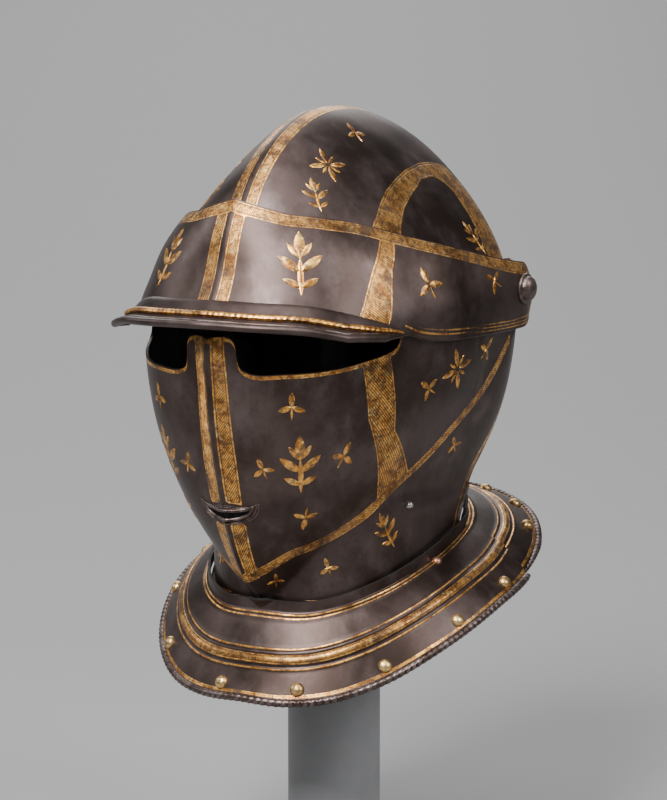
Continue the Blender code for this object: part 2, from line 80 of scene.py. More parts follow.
BEVOR_EDGES = [("s", 5, 17.5, "s", -5, 17.5), ("s", 13, 13, "s", -13, 12), ("s", 17, 2, "s", -18, 0),
               ("s", 19.3, -17.5, "s", -19.5, -15), ("s", 22.5, -38, "s", -19.5, -32), ("s", 21, -58, "s", -27, -46),
               ("s", 16, -80, "s", -38, -59), ("s", 9, -100, "s", -50, -71.5), ("s", 2.5, -118, "s", -61, -82.5),
               ("s", -1, -135, "s", -71, -91), ("s", -3, -151.5, "s", -80, -97.5), ("s", -25, -158.5, "s", -92, -107),
               ("s", -50, -164.5, "s", -103, -116), ("s", -72, -169.5, "s", -113, -123.5), ("s", -90, -175.5, "s", -121, -129.8),
               ("s", -104, -180, "s", -129, -135), ("s", -112, -181.3, "s", -135, -138.6), ("s", -116.5, -181.2, "s", -140, -143),
               ("s", -119.4, -181, "s", -143.2, -147.2), ("r", -56.4, 0, "r", -46, 0)]
# How much closer the visor's upper edge lies to the skull, station by station.
VISOR_HUG = [0, 0, 0, 0, 0.3, 1.0, 2.0, 3.0, 3.8, 4.2, 4.4, 4.4, 4.2, 3.6, 2.8, 1.8, 1.2]
# Skull: share of the radius, first and last angle of the sheet there.
SKULL_SHEET = [(0, -4, 356), (0.1, -4, 356), (0.16, 0, 300), (0.23, 2, 262), (0.3, 3.5, 259), (0.43, 5, 265.5),
               (0.51, 5.8, 270), (0.6, 6.5, 273.5), (0.77, 7, 273), (0.81, 7.2, 268), (0.87, 7.3, 257), (0.93, 7.5, 251),
               (0.975, 7.6, 248), (1.0, 7.7, 246)]
# Mouth slot seen from the front (x, z).
MOUTH_CUT = [(-16, -116.2), (-11, -118), (-5, -119), (0, -119.3), (5, -119), (11, -118), (16, -116.2),
             (11.5, -120.6), (6, -122.8), (0, -123.5), (-6, -122.8), (-11.5, -120.6)]
# Peak of the visor: distance from the middle, how far it stands out, how far it drops.
PEAK = [(0, 20.5, 13.5), (30, 20.5, 13.5), (48, 19.5, 14), (66, 18.5, 14.6), (80, 9.5, 10.5), (86, 4, 4.5), (90, 1.6, 2.2)]
# Neck plates: heights of the neck seam and of the outer edge by angle from the front.
NECK_Z = [(0, -183), (20, -183), (32, -179.5), (47, -173.5), (66, -166), (94, -157), (125, -147), (150, -135.6), (180, -129.3)]
EDGE_Z = [(0, -231), (12, -231.8), (23, -229), (35, -220.8), (53, -204.5), (78, -186), (99, -175.5), (118, -161),
          (133, -151.5), (149, -145), (165, -141), (180, -140)]
EDGE_Y, EDGE_HALF, EDGE_FRONT, EDGE_REAR = -10.0, 110.5, 138.5, 121.0
BEAD_R = 2.2
COLLAR_D, COLLAR_H, NAPE_EASE = 6.6, 6.0, 0.9
FRONT_SEAM = [(0, 125), (0.12, 123), (1, 99)]
REAR_SEAM = [(0, 127), (0.15, 125), (0.3, 115), (1, 92)]
REAR_SINK = PLATE + 0.9
LINING_FRONT = [-87, -62, -35, -6.5, 15, 38, 63, 89]
LINING_REAR = [128, 145, 162, 180, 198, 215, 232]
LINING_T, LINING_REAR_T, JOIN_PHI, JOIN_T = 0.88, 0.87, 83, 0.19

# Gilding: stripes beside the ridge (angle, inner and outer distance from the middle) and
# the side bands as outlines seen from the side (y, z).
STRIPES = [(-60, 1.5, 6.0), (-52, 1.5, 7.0), (-40, 2.0, 10.0), (-28, 2.0, 11.0), (-15, 2.0, 10.0), (-5, 2.2, 9.5),
           (2, 2.2, 10.0), (20, 2.0, 9.0), (36, 1.8, 8.5), (60, 1.8, 8.0), (90, 1.8, 7.5), (262, 1.8, 7.0)]
VISOR_BAND = [(-96, 48), (-121, 19), (-142, -12), (-121, -12), (-109, 18), (-88, 48)]
GUARD_BAND = [(-136, -22), (-125, -66), (-97, -114), (-92, -124), (-58, -124), (-63, -116), (-104, -74), (-118, -22)]
SKULL_ARCH = [(-108, 32), (-99, 42), (-83, 53), (-70, 60.5), (-54, 67), (-41, 71), (-20, 74), (-4, 74), (14, 71),
              (21, 62), (27, 51), (28, 41), (29, 15), (-8, 15), (-7, 31), (-5, 43), (-4, 56), (-7, 62), (-15, 66), (-31, 65), (-48, 58),
              (-64, 50), (-77, 41), (-86, 32)]
# Depth that stands for no gilding at all.
FAR = -8.0


def curve(x, pairs, period=None):
    xs = np.array([p[0] for p in pairs], float)
    ys = np.array([p[1] for p in pairs], float)
    if period:
        xs = np.concatenate([xs[-3:-1] - period, xs, xs[1:3] + period])
        ys = np.concatenate([ys[-3:-1], ys, ys[1:3]])
    x = np.clip(np.asarray(x, float), xs[0], xs[-1])
    i = np.clip(np.searchsorted(xs, x, side="right") - 1, 0, len(xs) - 2)
    slope = np.gradient(ys, xs)
    h = xs[i + 1] - xs[i]
    s = (x - xs[i]) / h
    return ((2 * s**3 - 3 * s**2 + 1) * ys[i] + (s**3 - 2 * s**2 + s) * h * slope[i]
            + (-2 * s**3 + 3 * s**2) * ys[i + 1] + (s**3 - s**2) * h * slope[i + 1])


def table(x, rows, column):
    return np.interp(x, [r[0] for r in rows], [r[column] for r in rows])


def wrap(theta):
    return np.mod(np.asarray(theta, float) + 98, 360) - 98


def radius(theta):
    return curve(wrap(theta), PROFILE, 360)


def oval(c, s, a, b, e):
    return (np.abs(s / a) ** e + np.abs(c / b) ** e) ** (-1 / e)


def neck_half(y, z, d):
    b = np.where(y < NECK_Y, NECK_FRONT, NECK_REAR) + d
    inside = np.maximum(1 - (np.abs(y - NECK_Y) / b) ** 2.2, 0)
    w = np.clip((-z - 80) / 50, 0, 1)
    return (NECK_HALF + d) * inside ** (1 / 2.2) * w * w * (3 - 2 * w)


def blend(form, neck):
    return (form ** 10 + neck ** 10) ** 0.1


def fall(rho, m):
    return ((rho * rho + FLAT * FLAT) ** (m / 2) - FLAT ** m) / ((1 + FLAT * FLAT) ** (m / 2) - FLAT ** m)


def base_width(rho, theta, d):
    m, n = curve(wrap(theta), SHAPE_M, 360), curve(wrap(theta), SHAPE_N, 360)
    return (HALF_WIDTH + d) * np.maximum(1 - fall(np.clip(rho, 0, 1), m), 0) ** (1 / n)


def half_width(y, z, d):
    theta = wrap(np.degrees(np.arctan2(z, -y)))
    return blend(base_width(np.hypot(y, z) / (radius(theta) + d), theta, d), neck_half(y, z, d))


def plan_radius(phi, z, d):
    c, s = np.cos(np.radians(phi)), np.abs(np.sin(np.radians(phi)))
    shape = np.broadcast(c, z).shape
    low, high = np.zeros(shape), np.full(shape, 160.0)
    for _ in range(34):
        r = (low + high) / 2
        inside = half_width(NECK_Y - r * c, z + 0 * r, d) > r * s + 1e-3
        low, high = np.where(inside, r, low), np.where(inside, high, r)
    return low


def station(kind, u, v, d):
    if kind == "r":
        r = float(radius(u)) + d
        return np.array([0.0, -r * np.cos(np.radians(u)), r * np.sin(np.radians(u))])
    if kind == "s":
        theta = np.degrees(np.arctan2(v, -u))
        return np.array([float(base_width(np.hypot(u, v) / (radius(theta) + d), theta, d)), u, v])
    near, far = -260.0, 0.0
    for _ in range(50):
        y = (near + far) / 2
        theta = np.degrees(np.arctan2(v, -y))
        wide = float(base_width(np.hypot(y, v) / (radius(theta) + d), theta, d)) > u
        near, far = (near, y) if wide else (y, far)
    return np.array([u, y, v])


def project(points, d):
    x, y, z = points[..., 0], points[..., 1], points[..., 2]
    theta = wrap(np.degrees(np.arctan2(z, -y)))
    m, n = curve(theta, SHAPE_M, 360), curve(theta, SHAPE_N, 360)
    r = np.hypot(y, z)
    size = radius(theta) + d
    low, high = np.full(x.shape, 0.2), np.full(x.shape, 5.0)
    for _ in range(40):
        k = (low + high) / 2
        out = (k * np.abs(x) / (HALF_WIDTH + d)) ** n + fall(k * r / size, m) > 1
        low, high = np.where(out, low, k), np.where(out, k, high)
    return theta, k * np.abs(x) / (HALF_WIDTH + d), k * r / size


def arm_ease(r, d):
    share = np.clip((ARM_FAR - r) / (ARM_FAR - ARM_NEAR), 0, 1)
    return np.interp(d, ARM_LAYERS, ARM_OUT) * share * share * (3 - 2 * share)


def surface(theta, xh, rho, d):
    r = rho * (radius(theta) + d)
    y, z = -r * np.cos(np.radians(theta)), r * np.sin(np.radians(theta))
    x = np.where(xh < 1e-6, 0.0, blend((HALF_WIDTH + d) * xh, neck_half(y, z, d)) + arm_ease(r, d))
    fold = curve(wrap(theta), KEEL) * x / KEEL_X * np.exp(1 - x / KEEL_X) * np.clip(rho * 3 - 1, 0, 1)
    return np.stack([x, y + fold * np.cos(np.radians(theta)), z - fold * np.sin(np.radians(theta))], axis=-1)


def mirror(points):
    return points * np.array([-1.0, 1.0, 1.0])


def unit(v):
    return v / np.linalg.norm(v, axis=-1, keepdims=True)


def belt(edges, d, count, rows, sink=0.0, hug=None):
    low = np.array([station(*e[:3], d) for e in edges])
    high = np.array([station(*e[3:], d) for e in edges])
    step = (np.linalg.norm(np.diff(low, axis=0), axis=1) + np.linalg.norm(np.diff(high, axis=0), axis=1)) / 2
    t = np.concatenate([[0], np.cumsum(step)])
    s = np.linspace(0, t[-1], count)
    low = np.stack([curve(s, list(zip(t, low[:, k]))) for k in range(3)], axis=-1)
    high = np.stack([curve(s, list(zip(t, high[:, k]))) for k in range(3)], axis=-1)
    v = np.linspace(0, 1, rows)[None, :, None]
    theta, xh, rho = project(low[:, None] * (1 - v) + high[:, None] * v, d)
    if hug is not None:
        sink = sink + np.interp(s, t, hug)[:, None] * v[..., 0] ** 2
    xh[-1] = 0.0
    return surface(theta, xh, rho, d - sink)


def length_along(line):
    return np.concatenate([[0], np.cumsum(np.linalg.norm(np.diff(line, axis=0), axis=1))])


def across(grid):
    step = np.linalg.norm(np.diff(grid, axis=1), axis=2)
    low = np.concatenate([np.zeros((len(grid), 1)), np.cumsum(step, axis=1)], axis=1)
    along = length_along(grid[:, 0])
    return low, low[:, -1:] - low, along[:, None] + 0 * low


def inside_outline(y, z, outline):
    pts = np.array(outline, float)
    nearest = np.full(y.shape, 1e9)
    odd = np.zeros(y.shape, bool)
    for a, b in zip(pts, np.roll(pts, -1, axis=0)):
        e = b - a
        k = np.clip(((y - a[0]) * e[0] + (z - a[1]) * e[1]) / (e @ e), 0, 1)
        nearest = np.minimum(nearest, np.hypot(y - a[0] - k * e[0], z - a[1] - k * e[1]))
        cross = (a[1] > z) != (b[1] > z)
        odd ^= cross & (y < (b[0] - a[0]) * (z - a[1]) / (b[1] - a[1] + 1e-12) + a[0])
    return np.where(odd, nearest, -nearest)


def stripes(grid):
    theta = wrap(np.degrees(np.arctan2(grid[..., 2], -grid[..., 1])))
    x = np.abs(grid[..., 0])
    d = np.minimum(x - table(theta, STRIPES, 1), table(theta, STRIPES, 2) - x)
    return d, np.radians(theta) * 150 - x


def gild(parts):
    depth = np.stack([np.clip(p[0], FAR, 8) for p in parts])
    hatch = np.stack([np.broadcast_to(p[1], depth[0].shape) for p in parts])
    best = np.argmax(depth, axis=0)[None]
    return np.take_along_axis(depth, best, 0)[0], np.take_along_axis(hatch, best, 0)[0]


# Mesh builders. Every plate is one closed sheet: rings of points from outside to inside,
# with how deep each point lies in a gilt band and where it lies along its hatching.
def finish(obj, body, nodes, angle=35):
    obj.data.polygons.foreach_set("use_smooth", [True] * len(obj.data.polygons))
    obj.data.set_sharp_from_angle(angle=math.radians(angle))
    if nodes:
        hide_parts(*nodes)
    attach(obj, body)
    return obj


def new_mesh(name, verts, faces, materials, place=True):
    pts = np.asarray(verts, float) * MM
    if place:
        pts = pts + np.array([0, PIVOT_Y, PIVOT_Z]) * MM
    mesh = bpy.data.meshes.new(name)
    mesh.from_pydata(pts.tolist(), [], faces)
    for m in materials:
        mesh.materials.append(m)
    obj = bpy.data.objects.new(name, mesh)
    bpy.context.scene.collection.objects.link(obj)
    return obj


def sheet(name, columns, depth, hatch, inner_from, materials, closed=False):
    n, m = columns.shape[:2]
    faces, dark = [], []
    for i in range(n if closed else n - 1):
        i2 = (i + 1) % n
        for j in range(m):
            k = (j + 1) % m
            faces.append([i * m + j, i * m + k, i2 * m + k, i2 * m + j])
            # Faces on the inner side take the second material, the near-black inside that also carries painted shade.
            dark.append(1 if j >= inner_from else 0)
    same = [np.allclose(columns[0, j], columns[-1, j], atol=1e-3) for j in range(m)]
    if not closed:
        for base in (0, (n - 1) * m):
            for j in range(m // 2):
                q = list(dict.fromkeys([base + j, base + j + 1, base + m - 2 - j, base + m - 1 - j]))
                if len(q) > 2 and not (same[j] and same[j + 1]):
                    faces.append(q)
                    dark.append(0)
    obj = new_mesh(name, columns.reshape(-1, 3), faces, materials)
    obj.data.polygons.foreach_set("material_index", dark)
    for key, values in (("gild", depth), ("hatch", hatch)):
        layer = obj.data.attributes.new(key, "FLOAT", "POINT")
        layer.data.foreach_set("value", np.ascontiguousarray(values, dtype=np.float32).ravel())
    flip_outward(obj)
    return obj


def flip_outward(obj):
    bm = bmesh.new()
    bm.from_mesh(obj.data)
    bmesh.ops.recalc_face_normals(bm, faces=bm.faces)
    bm.to_mesh(obj.data)
    bm.free()


def both(values, sign=None):
    other = values[-2::-1]
    return np.concatenate([values, mirror(other) if sign else other])


def tube(name, centre, normal, r, material, around=12, pitch=None, twist=0.0, depth=None, closed=False, flat=1.0):
    centre, normal = np.asarray(centre), np.asarray(normal)
    run = np.gradient(centre, axis=0) if not closed else np.roll(centre, -1, 0) - np.roll(centre, 1, 0)
    tangent = unit(run)
    side = unit(np.cross(tangent, normal))
    normal = unit(np.cross(side, tangent))
    s = length_along(centre)
    if closed and pitch:
        total = s[-1] + np.linalg.norm(centre[0] - centre[-1])
        pitch = total / max(1, round(total / pitch))
    a = np.linspace(0, 2 * np.pi, around, endpoint=False)
    rr = np.broadcast_to(np.asarray(r, float), s.shape)[:, None] * np.ones(around)
    if pitch:
        rr = rr * (1 + twist * np.cos(a[None] + 2 * np.pi * s[:, None] / pitch))
    ring = centre[:, None] + rr[..., None] * (np.cos(a)[None, :, None] * normal[:, None] * flat
                                              + np.sin(a)[None, :, None] * side[:, None])
    n = len(centre)
    faces = []
    for i in range(n if closed else n - 1):
        here, there = i * around, ((i + 1) % n) * around
        for j in range(around):
            k = (j + 1) % around
            faces.append([here + j, here + k, there + k, there + j])
    if not closed:
        faces += [list(range(around)), list(range(n * around - 1, (n - 1) * around - 1, -1))]
    obj = new_mesh(name, ring.reshape(-1, 3), faces, [material])
    flip_outward(obj)
    return obj


def turned(name, profile, material, segments, origin, axis, place=True):
    axis = unit(np.array(axis, float))
    side = unit(np.cross(axis, [0, 0, 1.0]) if abs(axis[2]) < 0.9 else np.cross(axis, [1.0, 0, 0]))
    turn = np.stack([side, np.cross(axis, side), axis])
    verts, faces, rings = [], [], []
    for r, h in profile:
        count = 1 if r < 1e-6 else segments
        rings.append(list(range(len(verts), len(verts) + count)))
        for k in range(count):
            t = 2 * np.pi * k / segments
            verts.append(np.array(origin) + np.array([r * np.cos(t), r * np.sin(t), h]) @ turn)
    for a, b in zip(rings, rings[1:]):
        for k in range(segments):
            q = list(dict.fromkeys([a[k % len(a)], a[(k + 1) % len(a)], b[(k + 1) % len(b)], b[k % len(b)]]))
            if len(q) > 2:
                faces.append(q)
    obj = new_mesh(name, verts, faces, [material], place)
    flip_outward(obj)
    return obj


# Materials. Steel and gilding share one node group of noises in object coordinates, and the
# plates read their band depth and hatching from the mesh.
class Nodes:
    def __init__(self, name):
        self.mat = bpy.data.materials.new(name)
        self.mat.use_nodes = True
        self.tree = self.mat.node_tree
        self.bsdf = self.tree.nodes["Principled BSDF"]
        self.coord = self.tree.nodes.new("ShaderNodeTexCoord").outputs["Object"]

    def link(self, a, b):
        self.tree.links.new(a, b)

    def noise(self, scale, detail=4.0, rough=0.55, stretch=None):
        n = self.tree.nodes.new("ShaderNodeTexNoise")
        n.inputs["Scale"].default_value = scale
        n.inputs["Detail"].default_value = detail
        n.inputs["Roughness"].default_value = rough
        src = self.coord
        if stretch:
            m = self.tree.nodes.new("ShaderNodeMapping")
            m.inputs["Scale"].default_value = stretch
            self.link(src, m.inputs["Vector"])
            src = m.outputs["Vector"]
        self.link(src, n.inputs["Vector"])
        return n.outputs["Fac"]

    def ramp(self, value, a, b, low=0.0, high=1.0, smooth=True):
        n = self.tree.nodes.new("ShaderNodeMapRange")
        n.interpolation_type = "SMOOTHSTEP" if smooth else "LINEAR"
        for key, v in zip(("From Min", "From Max", "To Min", "To Max"), (a, b, low, high)):
            n.inputs[key].default_value = v
        self.link(value, n.inputs["Value"])
        return n.outputs["Result"]

    def math(self, op, a, b=None):
        n = self.tree.nodes.new("ShaderNodeMath")
        n.operation = op
        for socket, v in zip(n.inputs, (a, b)):
            if v is None:
                continue
            if isinstance(v, (int, float)):
                socket.default_value = v
            else:
                self.link(v, socket)
        return n.outputs[0]

    def mix(self, fac, a, b):
        n = self.tree.nodes.new("ShaderNodeMix")
        n.data_type = "RGBA"
        self.link(fac, n.inputs["Factor"])
        for key, v in ((6, a), (7, b)):
            if isinstance(v, tuple):
                n.inputs[key].default_value = (*v, 1)
            else:
                self.link(v, n.inputs[key])
        return n.outputs[2]

    def attribute(self, name):
        n = self.tree.nodes.new("ShaderNodeAttribute")
        n.attribute_name = name
        return n.outputs["Fac"]

    def bump(self, height, distance, strength=1.0):
        n = self.tree.nodes.new("ShaderNodeBump")
        n.inputs["Distance"].default_value = distance
        n.inputs["Strength"].default_value = strength
        self.link(height, n.inputs["Height"])
        self.link(n.outputs["Normal"], self.bsdf.inputs["Normal"])


STEEL_DARK, STEEL_MID, STEEL_PALE = (0.045, 0.029, 0.024), (0.095, 0.068, 0.062), (0.22, 0.175, 0.172)
GOLD_DARK, GOLD_MID, GOLD_PALE = (0.34, 0.13, 0.025), (0.85, 0.42, 0.095), (1.0, 0.72, 0.28)


def steel_colour(k):
    cloud = k.noise(22, 5, 0.6)
    grain = k.noise(240, 6, 0.7)
    rub = k.noise(55, 8, 0.6, (1.0, 1.0, 0.6))
    base = k.mix(k.ramp(cloud, 0.36, 0.66), STEEL_DARK, STEEL_MID)
    base = k.mix(k.math("MULTIPLY", k.ramp(rub, 0.46, 0.8), 0.35), base, STEEL_PALE)
    return k.mix(k.math("MULTIPLY", k.ramp(grain, 0.5, 0.72), 0.35), base, STEEL_DARK), cloud, grain, rub


def gold_colour(k, grain):
    tone = k.noise(130, 5, 0.65)
    base = k.mix(k.ramp(tone, 0.36, 0.6), GOLD_DARK, GOLD_MID)
    return k.mix(k.ramp(grain, 0.52, 0.7), base, GOLD_PALE)


def plate_material(name):
    k = Nodes(name)
    steel, cloud, grain, rub = steel_colour(k)
    gold = gold_colour(k, grain)
    depth, hatch = k.attribute("gild"), k.attribute("hatch")
    area = k.ramp(depth, -0.1, 0.2)
    groove = k.ramp(k.math("SINE", k.math("MULTIPLY", hatch, 2 * math.pi / 1.45)), 0.1, 0.85)
    groove = k.math("MULTIPLY", groove, k.ramp(depth, 1.3, 1.6))
    line = k.math("MULTIPLY", k.ramp(depth, 0.75, 0.95), k.ramp(depth, 1.25, 1.45, 1.0, 0.0))
    cut = k.math("MULTIPLY", k.math("MAXIMUM", groove, line), area)
    worn = k.math("MULTIPLY", k.ramp(k.noise(70, 8, 0.72), 0.34, 0.52), k.ramp(k.noise(520, 4, 0.7), 0.36, 0.56, 0.3, 1.0))
    mask = k.math("MULTIPLY", k.math("MULTIPLY", area, k.ramp(worn, 0.0, 1.0, 0.22, 1.0)), k.ramp(cut, 0.0, 1.0, 1.0, 0.22))
    k.link(k.mix(mask, steel, gold), k.bsdf.inputs["Base Color"])
    k.bsdf.inputs["Metallic"].default_value = 0.9
    rough = k.ramp(cloud, 0.3, 0.7, 0.36, 0.5)
    k.link(k.math("SUBTRACT", rough, k.math("MULTIPLY", mask, 0.07)), k.bsdf.inputs["Roughness"])
    height = k.math("ADD", k.math("MULTIPLY", cut, -1.0), k.math("MULTIPLY", area, 0.35))
    height = k.math("ADD", height, k.math("MULTIPLY", k.math("ADD", grain, rub), 0.22))
    k.bump(height, 0.00022)
    return k.mat


def gold_material(name):
    k = Nodes(name)
    steel, cloud, grain, rub = steel_colour(k)
    worn = k.ramp(k.noise(230, 8, 0.75), 0.4, 0.54, 0.2, 1.0)
    k.link(k.mix(worn, steel, gold_colour(k, grain)), k.bsdf.inputs["Base Color"])
    k.bsdf.inputs["Metallic"].default_value = 0.92
    k.link(k.ramp(grain, 0.3, 0.7, 0.28, 0.45), k.bsdf.inputs["Roughness"])
    k.bump(k.math("ADD", grain, rub), 0.00010)
    return k.mat


def plain_material(name, low, high, metallic, rough_low, rough_high, scale, bump):
    k = Nodes(name)
    a, b = k.noise(scale, 5, 0.6), k.noise(scale * 7, 5, 0.65)
    k.link(k.mix(k.ramp(a, 0.32, 0.68), low, high), k.bsdf.inputs["Base Color"])
    k.bsdf.inputs["Metallic"].default_value = metallic
    k.link(k.ramp(b, 0.3, 0.7, rough_low, rough_high), k.bsdf.inputs["Roughness"])
    k.bump(k.math("ADD", a, b), bump)
    return k.mat


plate_mat = plate_material("patinated_steel_gilt")
gold_mat = gold_material("worn_gilding")
# Near-black inside of the plates: partly the blackened inside of the steel, partly painted shade for the dark inside of
# the helmet seen through its openings.
inside_dark_and_shade_mat = plain_material("blackened_inside_and_painted_shade", (0.010, 0.009, 0.008), (0.022, 0.019, 0.017), 0.3, 0.6, 0.85, 60, 0.0001)
edge_mat = plain_material("rubbed_dark_steel", (0.05, 0.032, 0.025), (0.19, 0.145, 0.135), 0.9, 0.34, 0.5, 110, 0.0001)
brass_mat = plain_material("aged_brass", (0.36, 0.20, 0.07), (0.80, 0.56, 0.25), 0.95, 0.26, 0.42, 170, 0.00012)
copper_mat = plain_material("aged_copper", (0.32, 0.14, 0.08), (0.68, 0.36, 0.23), 0.95, 0.3, 0.45, 170, 0.0001)
bright_mat = plain_material("bare_steel", (0.42, 0.40, 0.38), (0.68, 0.66, 0.63), 0.95, 0.22, 0.38, 190, 0.00006)
post_mat = plain_material("grey_painted_post", (0.20, 0.20, 0.205), (0.225, 0.225, 0.23), 0.0, 0.5, 0.6, 40, 0.00004)
PLATE_MATS = [plate_mat, inside_dark_and_shade_mat]


# Skull: a fan of closed sheet from pivot to pivot over the crown, with two stripes along the
# ridge and a broad arch on each side.
def make_skull(count, rows):
    v = 1 - (1 - np.linspace(0, 1, rows)) ** 1.2
    spread = 1 - (1 - np.linspace(0, 1, count - count // 6)) ** 1.7
    share = np.concatenate([np.linspace(0, 0.2, count // 6, endpoint=False), 0.2 + 0.8 * spread])
    first, last = table(share, SKULL_SHEET, 1), table(share, SKULL_SHEET, 2)
    theta = first + v[:, None] * (last - first)
    outer, inner = [], []
    for d, row in ((0.0, outer), (-PLATE, inner)):
        r = share * (radius(theta) + d)
        r[:, 0] = PIVOT_SHANK + CLEAR
        rho = r / (radius(theta) + d)
        xh = base_width(rho, theta, d) / (HALF_WIDTH + d)
        xh[:, -1] = 0.0
        row.append(surface(theta, xh, rho, d))
    outer, inner = outer[0], inner[0]
    ring = np.concatenate([outer, mirror(outer[:, -2::-1]), mirror(inner[:, :-1]), inner[:, ::-1]], axis=1)
    arch = inside_outline(outer[..., 1], outer[..., 2], SKULL_ARCH)
    arch = np.where(np.abs(outer[..., 0]) > 28, arch, FAR)
    line, where = stripes(outer)
    depth, hatch = gild([(arch, (outer[..., 1] + outer[..., 2]) * 0.8), (line, where)])
    blank = np.full(inner.shape[:2], FAR)
    depth = np.concatenate([depth, depth[:, -2::-1], blank[:, :-1], blank], axis=1)
    hatch = np.concatenate([hatch, hatch[:, -2::-1], blank[:, :-1], blank], axis=1)
    edge = np.concatenate([outer[-1], mirror(outer[-1, -2::-1])])
    return sheet("skull_shell", ring, depth, hatch, 2 * count - 1, PLATE_MATS), edge


skull, edge = make_skull(96, 150)
finish(skull, "skull_body", ["skull"])
edge = edge[edge[:, 2] < -112]
edge = edge[::2]
finish(tube("skull_neck_roll", edge, unit(edge * np.array([1, 1, 0])), 1.2, edge_mat, 12),
       "skull_body", [])


# Bevor and face guard: belts between their lower and upper edges. The guard has the median
# stripes, a band on each side, bright borders and the mouth slot.
def make_plate(name, edges, d, count, rows, bands):
    outer, inner = belt(edges, d, count, rows), belt(edges, d, count, rows, PLATE)
    depth, hatch = gild(bands(outer))
    blank = np.full(inner.shape[:2], FAR)
    ring = np.concatenate([outer, inner[:, ::-1]], axis=1)
    depth, hatch = np.concatenate([depth, blank], axis=1), np.concatenate([hatch, blank], axis=1)
    return sheet(name, both(ring, True), both(depth), both(hatch), rows, PLATE_MATS), outer


def bevor_bands(grid):
    low, high, along = across(grid)
    return [(np.minimum(low - 0.9, 4.6 - low), along - low), (np.minimum(low - 5.6, 6.6 - low), along)]


def guard_bands(grid):
    low, high, along = across(grid)
    line, where = stripes(grid)
    gap = np.abs(grid[..., 2] + 119.8 + 0.012 * grid[..., 0] ** 2) - 5.8
    rear = np.clip((along - 30) / 10, 0, 1) * 8 - 4
    side = inside_outline(grid[..., 1], grid[..., 2], GUARD_BAND)
    return [(np.minimum(line, gap), where),
            (np.minimum(np.minimum(low - 0.8, 7.0 - low), rear), along - low),
            (np.minimum(np.minimum(high - 0.2, 2.6 - high), 0.9), along),
            (np.minimum(side, low - 6.8), (grid[..., 1] + grid[..., 2]) * 0.8)]


bevor, bevor_grid = make_plate("bevor_shell", BEVOR_EDGES, BEVOR_D, 120, 44, bevor_bands)
finish(bevor, "bevor_body", ["bevor"])
guard, guard_grid = make_plate("face_guard_shell", GUARD_EDGES, GUARD_D, 170, 72, guard_bands)

# Mouth slot: cut through the guard, with raised lips that run along its outline.
outline = np.array(MOUTH_CUT, float)
loop = np.concatenate([outline, outline[:1]])
run = length_along(loop)
dense = np.linspace(0, run[-1], 96, endpoint=False)
slot_line = np.stack([np.interp(dense, run, loop[:, k]) for k in range(2)], axis=-1)
for _ in range(3):
    slot_line = (np.roll(slot_line, 1, 0) + 2 * slot_line + np.roll(slot_line, -1, 0)) / 4
n = len(slot_line)
walls = [[i, (i + 1) % n, n + (i + 1) % n, n + i] for i in range(n)]
ends = [list(range(n)), list(range(2 * n - 1, n - 1, -1))]
cutter = new_mesh("slot_cutter", [(x, y, z) for y in (-230, -120) for x, z in slot_line], walls + ends, [inside_dark_and_shade_mat])
flip_outward(cutter)
cut = guard.modifiers.new("slot", "BOOLEAN")
cut.object, cut.operation, cut.solver = cutter, "DIFFERENCE", "EXACT"
guard.data = bpy.data.meshes.new_from_object(guard.evaluated_get(bpy.context.evaluated_depsgraph_get()))
guard.modifiers.clear()
bpy.data.objects.remove(cutter, do_unlink=True)
finish(guard, "face_guard_body", ["face_guard"])


def surface_tree(obj):
    mesh = obj.data
    return BVHTree.FromPolygons([v.co for v in mesh.vertices], [p.vertices for p in mesh.polygons])


def drop(tree, point, normal, lift=0.0, reach=14.0):
    at = Vector((np.asarray(point) + np.asarray(normal) * reach) * MM) + Vector((0, PIVOT_Y * MM, PIVOT_Z * MM))
    hit, nor, _, _ = tree.ray_cast(at, Vector(-np.asarray(normal)), 0.06)
    if hit is None:
        hit, nor, _, _ = tree.find_nearest(at)
    if nor.dot(Vector(normal)) < 0:
        nor = -nor
    return (np.array(hit) / MM - np.array([0, PIVOT_Y, PIVOT_Z])) + np.array(nor) * lift, np.array(nor)


guard_tree = surface_tree(guard)
# Each lip: distance from the slot, radius, height above the plate.
for i, (grow, r, lift) in enumerate(((1.0, 1.0, 0.25), (3.3, 0.55, 0.05), (4.7, 0.4, 0.0))):
    mid = slot_line.mean(axis=0)
    away = np.stack([slot_line[:, 0] - mid[0], (slot_line[:, 1] - mid[1]) * 4], axis=-1)
    away = away / np.linalg.norm(away, axis=1, keepdims=True)
    ring = slot_line + away * np.array([grow * 1.15, grow * 0.8])
    pts, nrm = zip(*[drop(guard_tree, (x, -170.0, z), (0, -1.0, 0), lift, 30) for x, z in ring])
    finish(tube("mouth_lip_%d" % (i + 1), pts, nrm, r, edge_mat, 10, closed=True), "face_guard_body", [])


lower = both(bevor_grid[:, 0], True)
lower = lower[lower[:, 2] < -120]
finish(tube("bevor_neck_roll", lower, unit(lower * np.array([1, 1, 0])), 1.7, edge_mat, 12),
       "bevor_body", [])

